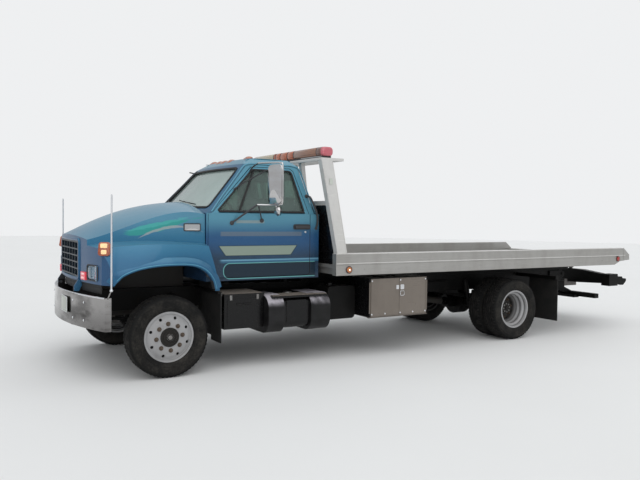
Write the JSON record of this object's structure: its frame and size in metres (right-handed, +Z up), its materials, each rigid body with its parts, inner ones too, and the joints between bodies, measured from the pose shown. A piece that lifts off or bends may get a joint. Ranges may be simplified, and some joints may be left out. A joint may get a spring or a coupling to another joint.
{
  "type": "flatbed tow truck",
  "caption": "Conventional-cab recovery truck with a tilting, sliding flatbed, headboard, toolboxes and a wheel lift under the tail.",
  "frame": {"origin": "on the ground, under the middle of the truck's bounding box", "axes": "+X towards the tail and the wheel lift, +Y to the truck's right-hand side, +Z up"},
  "size_m": [8.802, 2.68, 2.495],
  "materials": {
    "black_paint": "satin black chassis paint, dusty",
    "blue_paint": "metallic blue, glossy",
    "chrome": "polished",
    "aluminium": "dull, weathered",
    "polished_aluminium": "bright",
    "steel": "bare, worn",
    "cast_iron": "oily grey",
    "grey_wheel_paint": "silver-grey wheel paint",
    "tyre": "black, lightly dusty",
    "black_rubber": "matt",
    "black_plastic": "grained",
    "seat_vinyl": "dark grey vinyl",
    "glass": "slightly green",
    "amber_plastic": "translucent amber",
    "lamp_lens": "clear lens"
  },
  "bodies": {
    "chassis": {"frame_rails": "black_paint", "crossmembers": "black_paint", "frame_brackets": "black_paint", "front_bumper": "chrome", "front_axle": "black_paint", "rear_axle": "black_paint", "engine": "cast_iron", "drive_line": "cast_iron", "exhaust": "steel", "radiator": "black_paint", "battery_boxes": "black_paint", "fuel_tanks": "black_paint", "mud_flaps": "black_rubber", "cab_shell": "blue_paint", "cab_glass": "glass", "seats": "seat_vinyl", "dashboard": "black_plastic", "toolbox_left": "polished_aluminium", "toolbox_right": "polished_aluminium"},
    "steering_wheel": {"steering_wheel": "black_plastic"},
    "hood": {"hood": "blue_paint", "grille": "black_plastic", "front_lamps": "lamp_lens"},
    "tie_rod": {"tie_rod": "steel"},
    "tilt_frame": {"tilt_frame": "black_paint"},
    "deck": {"deck_floor": "aluminium", "deck_rails": "aluminium", "headboard": "aluminium", "light_bar": "amber_plastic", "winch": "black_paint"},
    "winch_drum": {"winch_drum": "steel"},
    "tilt_cylinder_barrels": {"tilt_cylinder_barrels": "black_paint"},
    "tilt_cylinder_rods": {"tilt_cylinder_rods": "chrome"},
    "lift_boom": {"lift_boom": "black_paint"},
    "lift_slide": {"lift_slide": "steel"},
    "lift_crossbar": {"lift_crossbar": "black_paint"},
    "lift_cylinder_barrel": {"lift_cylinder_barrel": "black_paint"},
    "lift_cylinder_rod": {"lift_cylinder_rod": "chrome"},
    "door_left": {"door_left": "blue_paint", "door_glass_left": "glass", "mirror_left": "chrome"},
    "knuckle_left": {"knuckle_left": "cast_iron"},
    "front_wheel_left": {"front_wheel_left": "grey_wheel_paint", "front_tyre_left": "tyre"},
    "rear_wheels_left": {"rear_wheels_left": "grey_wheel_paint", "rear_tyres_left": "tyre"},
    "toolbox_front_door_left": {"toolbox_front_door_left": "polished_aluminium"},
    "toolbox_rear_door_left": {"toolbox_rear_door_left": "polished_aluminium"},
    "door_right": {"door_right": "blue_paint", "door_glass_right": "glass", "mirror_right": "chrome"},
    "knuckle_right": {"knuckle_right": "cast_iron"},
    "front_wheel_right": {"front_wheel_right": "grey_wheel_paint", "front_tyre_right": "tyre"},
    "rear_wheels_right": {"rear_wheels_right": "grey_wheel_paint", "rear_tyres_right": "tyre"},
    "toolbox_front_door_right": {"toolbox_front_door_right": "polished_aluminium"},
    "toolbox_rear_door_right": {"toolbox_rear_door_right": "polished_aluminium"}
  },
  "joints": [
    {"name": "hood_tilt", "type": "hinge", "parent": "chassis", "child": "hood", "pos_m": [-4.309, 0, 0.885], "axis": [0, -1, 0], "range_deg": [0, 50]},
    {"name": "steering_wheel_turn", "type": "hinge", "parent": "chassis", "child": "steering_wheel", "pos_m": [-2.649, -0.43, 1.69], "axis": [0.8538, 0, 0.5206], "range_deg": [-560, 560]},
    {"name": "deck_tilt", "type": "hinge", "parent": "chassis", "child": "tilt_frame", "pos_m": [3.191, 0, 0.8], "axis": [0, 1, 0], "range_deg": [0, 15]},
    {"name": "deck_slide", "type": "slide", "parent": "tilt_frame", "child": "deck", "axis": [1, 0, 0], "range_m": [0, 3]},
    {"name": "winch_drum_turn", "type": "hinge", "parent": "deck", "child": "winch_drum", "pos_m": [-1.289, 0, 1.235], "axis": [0, 1, 0], "continuous": true},
    {"name": "tilt_barrel_swing", "type": "hinge", "parent": "chassis", "child": "tilt_cylinder_barrels", "pos_m": [0.371, 0, 0.7], "axis": [0, -1, 0], "range_deg": [0, 25]},
    {"name": "tilt_rod_extend", "type": "slide", "parent": "tilt_cylinder_barrels", "child": "tilt_cylinder_rods", "axis": [0.9701, 0, 0.2425], "range_m": [0, 0.33]},
    {"name": "lift_tilt", "type": "hinge", "parent": "chassis", "child": "lift_boom", "pos_m": [2.921, 0, 0.6], "axis": [0, 1, 0], "range_deg": [0, 14]},
    {"name": "lift_extend", "type": "slide", "parent": "lift_boom", "child": "lift_slide", "axis": [1, 0, 0], "range_m": [0, 0.5]},
    {"name": "crossbar_swivel", "type": "hinge", "parent": "lift_slide", "child": "lift_crossbar", "pos_m": [3.971, 0, 0.7], "axis": [0, 0, 1], "range_deg": [-40, 40]},
    {"name": "lift_barrel_swing", "type": "hinge", "parent": "chassis", "child": "lift_cylinder_barrel", "pos_m": [2.541, 0, 0.755], "axis": [0, 1, 0], "range_deg": [0, 7]},
    {"name": "lift_rod_extend", "type": "slide", "parent": "lift_cylinder_barrel", "child": "lift_cylinder_rod", "axis": [0.9996, 0, -0.0274], "range_m": [0, 0.031]},
    {"name": "door_left_hinge", "type": "hinge", "parent": "chassis", "child": "door_left", "pos_m": [-3.061, -0.96, 1.3], "axis": [0, 0, -1], "range_deg": [0, 60]},
    {"name": "steer_left", "type": "hinge", "parent": "chassis", "child": "knuckle_left", "pos_m": [-3.529, -0.88, 0.419], "axis": [0, 0, 1], "range_deg": [-35, 35]},
    {"name": "front_wheel_left_spin", "type": "hinge", "parent": "knuckle_left", "child": "front_wheel_left", "pos_m": [-3.529, -1, 0.419], "axis": [0, 1, 0], "continuous": true},
    {"name": "rear_wheels_left_spin", "type": "hinge", "parent": "chassis", "child": "rear_wheels_left", "pos_m": [1.379, -0.916, 0.419], "axis": [0, 1, 0], "continuous": true},
    {"name": "toolbox_front_door_left_hinge", "type": "hinge", "parent": "chassis", "child": "toolbox_front_door_left", "pos_m": [-1.11, -1.191, 0.7], "axis": [0, 0, -1], "range_deg": [0, 110]},
    {"name": "toolbox_rear_door_left_hinge", "type": "hinge", "parent": "chassis", "child": "toolbox_rear_door_left", "pos_m": [-0.238, -1.191, 0.7], "axis": [0, 0, 1], "range_deg": [0, 110]},
    {"name": "door_right_hinge", "type": "hinge", "parent": "chassis", "child": "door_right", "pos_m": [-3.061, 0.96, 1.3], "axis": [0, 0, 1], "range_deg": [0, 60]},
    {"name": "steer_right", "type": "hinge", "parent": "chassis", "child": "knuckle_right", "pos_m": [-3.529, 0.88, 0.419], "axis": [0, 0, 1], "range_deg": [-35, 35]},
    {"name": "front_wheel_right_spin", "type": "hinge", "parent": "knuckle_right", "child": "front_wheel_right", "pos_m": [-3.529, 1, 0.419], "axis": [0, 1, 0], "continuous": true},
    {"name": "rear_wheels_right_spin", "type": "hinge", "parent": "chassis", "child": "rear_wheels_right", "pos_m": [1.379, 0.916, 0.419], "axis": [0, 1, 0], "continuous": true},
    {"name": "toolbox_front_door_right_hinge", "type": "hinge", "parent": "chassis", "child": "toolbox_front_door_right", "pos_m": [-1.11, 1.191, 0.7], "axis": [0, 0, 1], "range_deg": [0, 110]},
    {"name": "toolbox_rear_door_right_hinge", "type": "hinge", "parent": "chassis", "child": "toolbox_rear_door_right", "pos_m": [-0.238, 1.191, 0.7], "axis": [0, 0, -1], "range_deg": [0, 110]},
    {"name": "tie_rod_pivot", "type": "hinge", "parent": "knuckle_left", "child": "tie_rod", "pos_m": [-3.369, -0.88, 0.31], "axis": [0, 0, 1], "range_deg": [-35, 35]}
  ],
  "couplings": [
    {"joint": "steer_right", "follows": "steer_left", "ratio": 1},
    {"joint": "tie_rod_pivot", "follows": "steer_left", "ratio": -1},
    {"joint": "steering_wheel_turn", "follows": "steer_left", "ratio": 16},
    {"joint": "tilt_barrel_swing", "follows": "deck_tilt", "ratio": 1.651},
    {"joint": "tilt_rod_extend", "follows": "deck_tilt", "m_per_rad": 1.2357},
    {"joint": "lift_barrel_swing", "follows": "lift_tilt", "ratio": 0.475},
    {"joint": "lift_rod_extend", "follows": "lift_tilt", "m_per_rad": 0.122}
  ]
}
